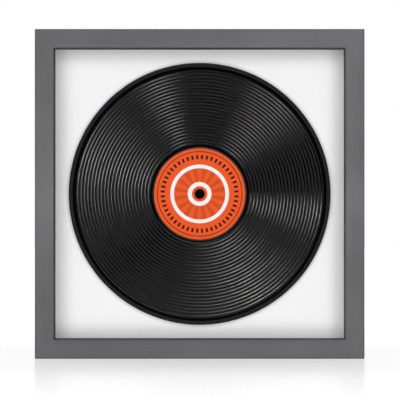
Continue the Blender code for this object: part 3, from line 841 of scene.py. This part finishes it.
def make_black_plastic(looks):
    """Satin black plastic with a fine moulded texture."""
    recipe = Recipe.material("black_plastic")
    texture = recipe.noise(3000.0, detail=2.0)
    recipe.set(
        Base_Color=recipe.scaled(looks.plastic, 0.8, 1.2, texture),
        Roughness=recipe.range(texture, 0.3, 0.7, 0.30, 0.38),
        Specular_IOR_Level=0.05,
    )
    recipe.bump(texture, 0.00001, 0.4)
    return recipe.owner


def make_felt(looks):
    """Dark felt pad with a short nap."""
    recipe = Recipe.material("bumper_felt")
    nap = recipe.noise(1900.0, detail=5.0, roughness=0.8)
    recipe.set(Base_Color=recipe.scaled(looks.felt, 0.6, 1.4, nap), Roughness=0.96, Sheen_Weight=0.3)
    recipe.bump(nap, 0.00025, 0.9)
    return recipe.owner


def lies_along(vert, out, y):
    """Whether a point of the bottom rail lies on its long edge of that place in the section."""
    return abs(vert.co.z + out) < WELD_DISTANCE and abs(vert.co.y - y) < WELD_DISTANCE


def moulding_mesh(looks):
    """One mitred length of moulding, as the bottom rail lies below the frame's centre."""
    sight = SIGHT_SIZE / 2
    outer = OUTER_SIZE / 2
    rebate = REBATE_SIZE / 2
    eased = {
        "bevel": (sight + BEVEL_WIDTH, FRONT_Y, looks.arris * 0.3),
        "front": (outer, FRONT_Y, looks.arris),
        "back": (outer, BACK_Y, looks.back_arris),
        "inner_back": (rebate, BACK_Y, looks.back_arris * 0.5),
    }
    section = [
        (sight, FRONT_Y + BEVEL_DEPTH),
        eased["bevel"][:2],
        eased["front"][:2],
        eased["back"][:2],
        eased["inner_back"][:2],
        (rebate, LIP_BACK_Y),
        (sight, LIP_BACK_Y),
    ]
    shape = bmesh.new()
    face = shape.faces.new([shape.verts.new((0.0, y, -out)) for out, y in section])
    drawn = bmesh.ops.extrude_face_region(shape, geom=[face])
    far_end = {item for item in drawn["geom"] if isinstance(item, bmesh.types.BMVert)}
    for vert in shape.verts:
        half_length = -vert.co.z - looks.mitre_gap / math.sqrt(2)
        vert.co.x = half_length if vert in far_end else -half_length
    for out, y, radius in eased.values():
        edges = [edge for edge in shape.edges if all(lies_along(vert, out, y) for vert in edge.verts)]
        bmesh.ops.bevel(shape, geom=edges, offset=radius, segments=4, profile=0.5, affect="EDGES")
    return finished(shape, "moulding")


def nail_outline(leg, half_gauge):
    """An L with its corner on the mitre and a leg in each of the two mouldings."""
    return [
        (-half_gauge, -half_gauge),
        (leg, -half_gauge),
        (leg, half_gauge),
        (half_gauge, half_gauge),
        (half_gauge, leg),
        (-half_gauge, leg),
    ]


def corner_offcut():
    """What rounding takes off an outer corner, with the middle of the round on the origin."""
    beyond = CORNER_ROUND + CUT_OVERRUN
    return arc((0.0, 0.0), CORNER_ROUND, 0, 90, 6) + [(0.0, beyond), (beyond, beyond), (beyond, 0.0)]


def at_both_ends(cutter, x, y, z):
    """Copies of a cutter at the bottom rail's right and left corners."""
    copies = []
    for side, turns in ((1, 0), (-1, 1)):
        mesh = cutter.copy()
        mesh.transform(Matrix.Translation((side * x, y, z)) @ facing_back(turns))
        copies.append(mesh)
    return copies


def make_mouldings(looks):
    """Four mouldings with eased arrises, hairline mitres, eased corners and slots for the nails."""
    finish = make_paint(looks)
    base = moulding_mesh(looks)
    nail = [nail_outline(NAIL_LEG + NAIL_SLOT_GAP, NAIL_GAUGE / 2 + NAIL_SLOT_GAP)]
    slot = plate("nail_slot", nail, NAIL_SLOT_DEPTH + CUT_OVERRUN)
    slot_y = BACK_Y + (CUT_OVERRUN - NAIL_SLOT_DEPTH) / 2
    cutters = []
    for end in ("inner", "outer"):
        corner = nail_corner(f"corner_nail_bottom_right_{end}")
        cutters += at_both_ends(slot, corner.x, slot_y, corner.z - CENTRE.z)
    offcut = plate("offcut", [corner_offcut()], BACK_Y - FRONT_Y + 2 * CUT_OVERRUN)
    round_middle = OUTER_SIZE / 2 - CORNER_ROUND
    cutters += at_both_ends(offcut, round_middle, (FRONT_Y + BACK_Y) / 2, -round_middle)
    base = rounded_off(cut_out(base, cutters))
    for turns, name in enumerate(RAILS):
        mesh = base.copy()
        mesh.transform(Matrix.Translation(CENTRE) @ Matrix.Rotation(turns * QUARTER, 4, "Y"))
        put(f"{name}_finished", mesh, finish, "frame", (0.0, 0.0, 0.0))


def nail_corner(node):
    """The place of a bottom right nail's own corner, which its two legs leave."""
    low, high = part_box(node)
    return Vector((low.x + NAIL_GAUGE / 2, high.y, high.z - NAIL_GAUGE / 2))


def make_record(looks):
    """The record with its ring bands."""
    middle = box_middle("record_disc")
    disc = turned("record", record_profile(looks), looks.steps, RING_SHARP_ANGLE)
    finish = make_vinyl(looks)
    put("record_disc_finished", disc, finish, "record", middle, facing_front())


def make_labels(looks):
    """A paper label on each side of the record."""
    finish = make_label_print(looks)
    bore = RECORD_BORE / 2
    half = LABEL_THICKNESS / 2
    edge = arc((LABEL_RADIUS - LABEL_EDGE, half - LABEL_EDGE), LABEL_EDGE, 90, 0, 3)
    profile = [(bore, half), *edge, (LABEL_RADIUS, -half), (bore, -half)]
    label = turned("label", profile, segments=128)
    for name, turn in (("front_label", facing_front()), ("back_label", facing_back())):
        put(f"{name}_finished", label, finish, "record", box_middle(name), turn)


def make_peg(looks):
    """The peg's domed head with its rounded lip over a plain shank."""
    low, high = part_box("centre_peg")
    radius = (high.z - low.z) / 2
    length = high.y - low.y
    head = [(0.0, PEG_HEAD_HEIGHT)]
    steps = 12
    for step in range(1, steps):
        angle = QUARTER * step / steps
        rise = (PEG_HEAD_HEIGHT - PEG_DOME_START) * math.cos(angle)
        head.append((radius * math.sin(angle), PEG_DOME_START + rise))
    head += arc((radius - PEG_LIP, PEG_LIP), PEG_LIP, 0, -90, 4)
    shank = PEG_SHANK_DIAMETER / 2
    bottom = PEG_HEAD_HEIGHT - length
    point = [(shank, bottom + PEG_LIP), (shank - PEG_LIP, bottom), (0.0, bottom)]
    peg = turned("peg", [*head, (shank, 0.0), *point], segments=64)
    place = Vector((0.0, low.y + PEG_HEAD_HEIGHT, CENTRE.z))
    plastic = make_black_plastic(looks)
    put("centre_peg_finished", peg, plastic, "frame", place, facing_front())
    dress(["peg_nut"], plastic)


def screw_mesh(length):
    """A pan-head wood screw with a tapered cross recess. Height 0 is under its head."""
    shank = SCREW_SHANK_DIAMETER / 2
    head = [(0.0, SCREW_HEAD_HEIGHT)]
    steps = 8
    for step in range(1, steps + 1):
        angle = QUARTER * step / steps
        share = SCREW_HEAD_EDGE_SHARE + (1 - SCREW_HEAD_EDGE_SHARE) * math.cos(angle) ** 0.8
        head.append((SCREW_HEAD_RADIUS * math.sin(angle) ** 0.7, SCREW_HEAD_HEIGHT * share))
    head.append((SCREW_HEAD_RADIUS, 0.0))
    profile = [*head, (shank, 0.0), (shank, SCREW_POINT - length), (0.0, -length)]
    blank = turned("screw", profile, segments=40)
    cutters = []
    for turns in range(2):
        shape = bmesh.new()
        bmesh.ops.create_cube(shape, size=1.0)
        for vert in shape.verts:
            share = DRIVE_TAPER_SHARE if vert.co.z < 0 else 1.0
            vert.co.x *= DRIVE_LENGTH * share
            vert.co.y *= DRIVE_WIDTH
            vert.co.z = SCREW_HEAD_HEIGHT + (CUT_OVERRUN if vert.co.z > 0 else -DRIVE_DEPTH)
        cutter = finished(shape, "drive")
        cutter.transform(Matrix.Rotation(turns * QUARTER, 4, "Z"))
        cutters.append(cutter)
    return rounded_off(cut_out(blank, cutters))


def button_outline(steps):
    """A pear: a round head at the pivot and a smaller round tip, joined by their tangents."""
    tip_drop = BUTTON_REACH - BUTTON_TIP_RADIUS
    spread = math.degrees(math.acos((BUTTON_HEAD_RADIUS - BUTTON_TIP_RADIUS) / tip_drop))
    head = arc((0.0, 0.0), BUTTON_HEAD_RADIUS, spread - 90, 270 - spread, steps)
    tip = arc((0.0, -tip_drop), BUTTON_TIP_RADIUS, -90 - spread, spread - 90, steps)
    return head + tip


def make_turn_buttons(looks, zinc, steel):
    """Stamped turn buttons, each under its own screw."""
    hole = circle(SCREW_SHANK_DIAMETER / 2 + FIT_GAP, steps=32)
    button = plate("turn_button", [button_outline(steps=20), hole], BUTTON_THICKNESS, looks.ease)
    low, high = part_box("turn_screw_bottom_left")
    screw = screw_mesh(high.y - low.y - SCREW_HEAD_HEIGHT)
    for turns, (side, ends) in enumerate(SIDES):
        for end in ends:
            name = f"{side}_{end}"
            low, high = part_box(f"turn_screw_{name}")
            pivot = (low + high) / 2
            pivot.y = box_middle(f"turn_button_{name}").y
            seat = Vector((pivot.x, high.y - SCREW_HEAD_HEIGHT, pivot.z))
            body = f"turn_button_{name}"
            put(f"{body}_finished", button, zinc, body, pivot, facing_back(turns))
            screw_name = f"turn_screw_{name}_finished"
            put(screw_name, screw, steel, "frame", seat, facing_back(turns))


def strap_mesh(looks):
    """The hanger's strap: a flat tail and a loop round the ring's bar, which lies on the origin."""
    loop_inner = RING_WIRE_DIAMETER / 2 + FIT_GAP
    loop_outer = loop_inner + STRAP_THICKNESS
    tail_face = STRAP_THICKNESS - loop_outer
    meets = math.degrees(math.acos(tail_face / loop_outer))
    steps = 28
    outline = arc((0.0, 0.0), loop_outer, 180, -meets, steps)
    outline += [(tail_face, -STRAP_LENGTH), (-loop_outer, -STRAP_LENGTH)]
    mesh = plate("hanger_strap", [outline, circle(loop_inner, steps)], STRAP_WIDTH)
    shape = bmesh.new()
    shape.from_mesh(mesh)
    tail_end = [
        edge
        for edge in shape.edges
        if all(abs(vert.co.y + STRAP_LENGTH) < WELD_DISTANCE for vert in edge.verts)
        and abs(edge.verts[0].co.z - edge.verts[1].co.z) < WELD_DISTANCE
    ]
    radius = STRAP_WIDTH * STRAP_END_ROUND_SHARE
    bmesh.ops.bevel(shape, geom=tail_end, offset=radius, segments=10, profile=0.5, affect="EDGES")
    bpy.data.meshes.remove(mesh)
    hole_depth = STRAP_THICKNESS / 2 - loop_outer
    hole = bmesh.new()
    bore = SCREW_SHANK_DIAMETER / 2 + FIT_GAP
    turn = Matrix.Translation((hole_depth, -STRAP_SCREW_DROP, 0.0)) @ Matrix.Rotation(QUARTER, 4, "Y")
    depth = STRAP_THICKNESS + 2 * CUT_OVERRUN
    bmesh.ops.create_cone(
        hole, cap_ends=True, segments=24, radius1=bore, radius2=bore, depth=depth, matrix=turn
    )
    strap = cut_out(finished(shape, "hanger_strap"), [finished(hole, "hole")])
    blank = blank_object("strap", strap)
    bevel = blank.modifiers.new("ease", "BEVEL")
    bevel.width = looks.ease
    bevel.segments = 2
    bevel.limit_method = "ANGLE"
    bevel.angle_limit = math.radians(50)
    return rounded_off(applied(blank))


def ring_mesh():
    """A D-shaped wire ring that hangs from its straight bar, which lies on the origin."""
    half = (RING_INNER_WIDTH + RING_WIRE_DIAMETER) / 2
    corner = RING_CORNER_RADIUS
    points = arc((half - corner, -corner), corner, 90, 0, 8)
    points += arc((0.0, -RING_LEG_LENGTH), half, 0, -180, 32)
    points += arc((corner - half, -corner), corner, 180, 90, 8)
    curve = bpy.data.curves.new("hanger_ring", "CURVE")
    curve.dimensions = "3D"
    curve.bevel_depth = RING_WIRE_DIAMETER / 2
    curve.bevel_resolution = 6
    spline = curve.splines.new("POLY")
    spline.points.add(len(points) - 1)
    for point, (across, along) in zip(spline.points, points):
        point.co = (across, along, 0.0, 1.0)
    spline.use_cyclic_u = True
    return rounded_off(applied(blank_object("ring", curve)))


def make_hangers(looks, zinc, steel):
    """A D-ring hanger on the back of each stile."""
    strap = strap_mesh(looks)
    ring = ring_mesh()
    low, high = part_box("hanger_screw_left")
    screw = screw_mesh(high.y - low.y - SCREW_HEAD_HEIGHT)
    upright = Matrix.Rotation(QUARTER, 4, "Z") @ Matrix.Rotation(QUARTER, 4, "X")
    for joint in frame["joints"]:
        if not joint["name"].startswith("hanger_ring"):
            continue
        side = "left" if "left" in joint["name"] else "right"
        bar = Vector(joint["pos_m"])
        body = f"hanger_ring_{side}"
        put(f"hanger_strap_{side}_finished", strap, zinc, "frame", bar, upright)
        put(f"{body}_finished", ring, zinc, body, bar, facing_front())
        seat = box_middle(f"hanger_screw_{side}")
        seat.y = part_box(f"hanger_screw_{side}")[1].y - SCREW_HEAD_HEIGHT
        put(f"hanger_screw_{side}_finished", screw, steel, "frame", seat, facing_back())


def make_bumpers(looks):
    """Rounded felt pads near the ends of the bottom rail."""
    low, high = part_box("wall_bumper_left")
    radius = (high.z - low.z) / 2
    height = high.y - low.y
    edge = arc((radius - BUMPER_ROUND, height - BUMPER_ROUND), BUMPER_ROUND, 90, 0, 6)
    pad = turned("bumper", [(0.0, height), *edge, (radius, 0.0), (0.0, 0.0)], segments=48)
    felt = make_felt(looks)
    for side in ("left", "right"):
        place = box_middle(f"wall_bumper_{side}")
        place.y = low.y
        put(f"wall_bumper_{side}_finished", pad, felt, "frame", place, facing_back())


def make_floor(looks):
    """A pale floor with a fading mirror. Soft light passes up through it."""
    recipe = Recipe.material("floor")
    x, y, _ = recipe.parts()
    past_side = recipe.maths("SUBTRACT", recipe.maths("ABSOLUTE", x), OUTER_SIZE / 2)
    past_face = recipe.maths("SUBTRACT", recipe.maths("ABSOLUTE", y), BACK_Y)
    away = recipe.distance(*[recipe.maths("MAXIMUM", past, 0.0) for past in (past_side, past_face)])
    fade = recipe.range(away, 0.0, looks.shine_reach, looks.shine, 0.0)
    fresnel = recipe.node("ShaderNodeFresnel", {"IOR": 1.5}).outputs[0]
    path = recipe.node("ShaderNodeLightPath").outputs
    pale = recipe.diffuse(looks.floor_tone)
    seen = recipe.maths("MAXIMUM", path["Is Camera Ray"], path["Is Glossy Ray"])
    seen = recipe.maths("MAXIMUM", seen, path["Is Transmission Ray"])
    strength = recipe.maths("MULTIPLY", seen, looks.floor_glow)
    glow = recipe.node("ShaderNodeEmission", {"Strength": strength}).outputs[0]
    open_floor = recipe.node("ShaderNodeAddShader", {0: pale, 1: glow}).outputs[0]
    gloss = recipe.node("ShaderNodeBsdfGlossy", {"Roughness": FLOOR_ROUGHNESS}).outputs[0]
    shown = recipe.either(recipe.maths("MULTIPLY", fade, fresnel), open_floor, gloss)
    front = recipe.range(y, *FLOOR_DIM_ENDS, 1.0, 0.0, smooth=True)
    hidden = recipe.maths("MULTIPLY", path["Is Glossy Ray"], front)
    shown = recipe.either(hidden, shown, recipe.diffuse(FLOOR_DIM))
    passing = recipe.maths("MAXIMUM", path["Is Diffuse Ray"], path["Is Shadow Ray"])
    clear = recipe.node("ShaderNodeBsdfTransparent").outputs[0]
    recipe.surface(recipe.either(passing, shown, clear))
    return recipe.owner


def cosines(angles):
    return [math.cos(math.radians(degrees)) for degrees in angles]


def make_world(looks):
    """Even light with more in front and behind. Gloss shows a dim front with two ring lights."""
    world = bpy.data.worlds.new("studio")
    bpy.context.scene.world = world
    recipe = Recipe(world)
    path = recipe.node("ShaderNodeLightPath").outputs
    direction = recipe.node("ShaderNodeTexCoord").outputs["Generated"]
    x, y, z = recipe.node("ShaderNodeSeparateXYZ", {0: direction}).outputs
    turn = recipe.maths("FRACT", recipe.maths("DIVIDE", recipe.maths("ARCTAN2", z, x), 2 * math.pi))
    off_front = recipe.maths("ARCCOSINE", recipe.maths("MULTIPLY", y, -1.0))
    room = recipe.range(y, 0.05, 0.35, looks.room, 1.0)
    outer = ring_light(recipe, turn, off_front, OUTER_SLOPE_LIGHT, OUTER_SLOPE_STRETCHES)
    inner = ring_light(recipe, turn, off_front, INNER_SLOPE_LIGHT, INNER_SLOPE_STRETCHES)
    for light, strength in ((outer, OUTER_SLOPE_STRENGTH), (inner, INNER_SLOPE_STRENGTH)):
        shine = recipe.maths("MULTIPLY", light, strength * looks.ring_lights)
        room = recipe.maths("ADD", room, shine)
    mirrored = recipe.maths("MAXIMUM", path["Is Glossy Ray"], path["Is Transmission Ray"])
    both_ways = recipe.maths("ABSOLUTE", y)
    outer_start, outer_end = cosines(LIGHT_OUTER_ENDS)
    inner_start, inner_end = cosines(LIGHT_INNER_ENDS)
    inside = recipe.range(both_ways, outer_end, outer_start, smooth=True)
    core = recipe.range(both_ways, inner_end, inner_start, 1.0, looks.core, smooth=True)
    soft_light = recipe.maths("MULTIPLY", recipe.maths("MULTIPLY", inside, core), looks.frontal)
    level = recipe.maths("ADD", soft_light, looks.ambient)
    lit = recipe.blend(mirrored, level, room)
    background = recipe.tree.nodes["Background"]
    recipe.feed(background.inputs["Strength"], recipe.blend(path["Is Camera Ray"], lit, 1.0))
    recipe.feed(background.inputs["Color"], tint((1.0, 1.0, 1.0)))


def ring_light(recipe, turn, off_front, degrees, stretches):
    """The brightness of a ring light in front, with its stretches turned up or down."""
    ramp = recipe.node("ShaderNodeValToRGB", {0: turn})
    stops = ramp.color_ramp.elements
    stops[0].color = stops[1].color = tint((0.0, 0.0, 0.0))
    for place, level in stretches:
        stops.new(place / 360).color = tint((level, level, level))
    away = recipe.maths("ABSOLUTE", recipe.maths("SUBTRACT", off_front, math.radians(degrees)))
    across = recipe.range(away, 0.0, math.radians(RING_LIGHT_HALF_WIDTH), 1.0, 0.0, smooth=True)
    along = recipe.maths("POWER", ramp.outputs["Color"], RING_LIGHT_GAMMA)
    return recipe.maths("MULTIPLY", across, along)


def make_camera(looks):
    """A long lens straight in front, whose picture is a little wider than the frame."""
    camera = bpy.data.cameras.new("camera")
    camera.lens = looks.lens
    camera.clip_end = 100.0
    distance = PICTURE_WIDTH * camera.lens / camera.sensor_width
    stand = blank_object("camera", camera)
    stand.location = (CAMERA_X, FRONT_Y - distance, CAMERA_Z)
    stand.rotation_euler = (QUARTER, 0.0, 0.0)
    bpy.context.scene.camera = stand


class PieceOperator:
    """What the operators share."""

    bl_options = {"REGISTER", "UNDO"}

    @classmethod
    def poll(cls, context):
        return context.scene is not None


class RECORDFRAME_OT_mouldings(PieceOperator, bpy.types.Operator):
    """Build the four painted mouldings"""

    bl_idname = "recordframe.mouldings"
    bl_label = "Mouldings"

    def execute(self, context):
        make_mouldings(context.scene.record_frame.moulding)
        return {"FINISHED"}


class RECORDFRAME_OT_boards(PieceOperator, bpy.types.Operator):
    """Finish the glazing, the spacers, the mat, the foam board and the back"""

    bl_idname = "recordframe.boards"
    bl_label = "Boards and glazing"

    def execute(self, context):
        looks = context.scene.record_frame.board
        dress(["glazing_sheet"], make_acrylic(looks))
        dress(["spacer_top", "spacer_bottom", "spacer_left", "spacer_right"], make_strip_plastic(looks))
        dress(["mat_board"], make_mat_paper(looks))
        dress(["foam_board"], make_foam_paper(looks))
        dress(["backing_board"], make_hardboard(looks))
        return {"FINISHED"}


class RECORDFRAME_OT_record(PieceOperator, bpy.types.Operator):
    """Build the record with its ring bands"""

    bl_idname = "recordframe.record"
    bl_label = "Record"

    def execute(self, context):
        make_record(context.scene.record_frame.record)
        return {"FINISHED"}


class RECORDFRAME_OT_labels(PieceOperator, bpy.types.Operator):
    """Build the printed labels"""

    bl_idname = "recordframe.labels"
    bl_label = "Labels"

    def execute(self, context):
        make_labels(context.scene.record_frame.record)
        return {"FINISHED"}


class RECORDFRAME_OT_peg(PieceOperator, bpy.types.Operator):
    """Build the centre peg and finish its nut"""

    bl_idname = "recordframe.peg"
    bl_label = "Centre peg"

    def execute(self, context):
        make_peg(context.scene.record_frame.hardware)
        return {"FINISHED"}


class RECORDFRAME_OT_hardware(PieceOperator, bpy.types.Operator):
    """Build the turn buttons, the hangers and their screws, and finish the corner nails"""

    bl_idname = "recordframe.hardware"
    bl_label = "Turn buttons, hangers and nails"

    def execute(self, context):
        looks = context.scene.record_frame.hardware
        zinc = make_metal("zinc_plating", looks.zinc, roughness=0.34, grain=500.0)
        steel = make_metal("screw_steel", looks.steel, roughness=0.28, grain=900.0)
        make_turn_buttons(looks, zinc, steel)
        make_hangers(looks, zinc, steel)
        nails = [f"corner_nail_{corner}_{end}" for corner in CORNERS for end in ("inner", "outer")]
        dress(nails, make_metal("nail_steel", looks.steel, roughness=0.45, grain=1200.0))
        return {"FINISHED"}


class RECORDFRAME_OT_bumpers(PieceOperator, bpy.types.Operator):
    """Build the felt pads that meet the wall"""

    bl_idname = "recordframe.bumpers"
    bl_label = "Wall bumpers"

    def execute(self, context):
        make_bumpers(context.scene.record_frame.hardware)
        return {"FINISHED"}


class RECORDFRAME_OT_stage(PieceOperator, bpy.types.Operator):
    """Build the floor, the light and the camera"""

    bl_idname = "recordframe.stage"
    bl_label = "Stage"

    def execute(self, context):
        looks = context.scene.record_frame.stage
        shape = bmesh.new()
        bmesh.ops.create_grid(shape, x_segments=1, y_segments=1, size=FLOOR_REACH)
        floor = blank_object("floor", finished(shape, "floor"))
        floor.data.materials.append(make_floor(looks))
        make_world(looks)
        make_camera(looks)
        context.scene.view_settings.view_transform = "Standard"
        return {"FINISHED"}


OPERATORS = (
    RECORDFRAME_OT_mouldings,
    RECORDFRAME_OT_boards,
    RECORDFRAME_OT_record,
    RECORDFRAME_OT_labels,
    RECORDFRAME_OT_peg,
    RECORDFRAME_OT_hardware,
    RECORDFRAME_OT_bumpers,
    RECORDFRAME_OT_stage,
)


class RECORDFRAME_PT_looks(bpy.types.Panel):
    """The steps and settings in the sidebar"""

    bl_label = "Record Frame"
    bl_idname = "RECORDFRAME_PT_looks"
    bl_space_type = "VIEW_3D"
    bl_region_type = "UI"
    bl_category = "Record Frame"

    def draw(self, context):
        for operator in OPERATORS:
            self.layout.operator(operator.bl_idname)
        looks = context.scene.record_frame
        for group in (looks.moulding, looks.board, looks.record, looks.hardware, looks.stage):
            box = self.layout.box()
            for name in group.__annotations__:
                box.prop(group, name)


CLASSES = (
    MouldingLooks,
    BoardLooks,
    RecordLooks,
    HardwareLooks,
    StageLooks,
    RecordFrameLooks,
    *OPERATORS,
    RECORDFRAME_PT_looks,
)


def register():
    for item in CLASSES:
        bpy.utils.register_class(item)
    bpy.types.Scene.record_frame = PointerProperty(type=RecordFrameLooks)


def unregister():
    del bpy.types.Scene.record_frame
    for item in reversed(CLASSES):
        bpy.utils.unregister_class(item)


def main():
    register()
    bpy.ops.recordframe.mouldings()
    bpy.ops.recordframe.boards()
    bpy.ops.recordframe.record()
    bpy.ops.recordframe.labels()
    bpy.ops.recordframe.peg()
    bpy.ops.recordframe.hardware()
    bpy.ops.recordframe.bumpers()
    bpy.ops.recordframe.stage()


if __name__ == "__main__":
    main()
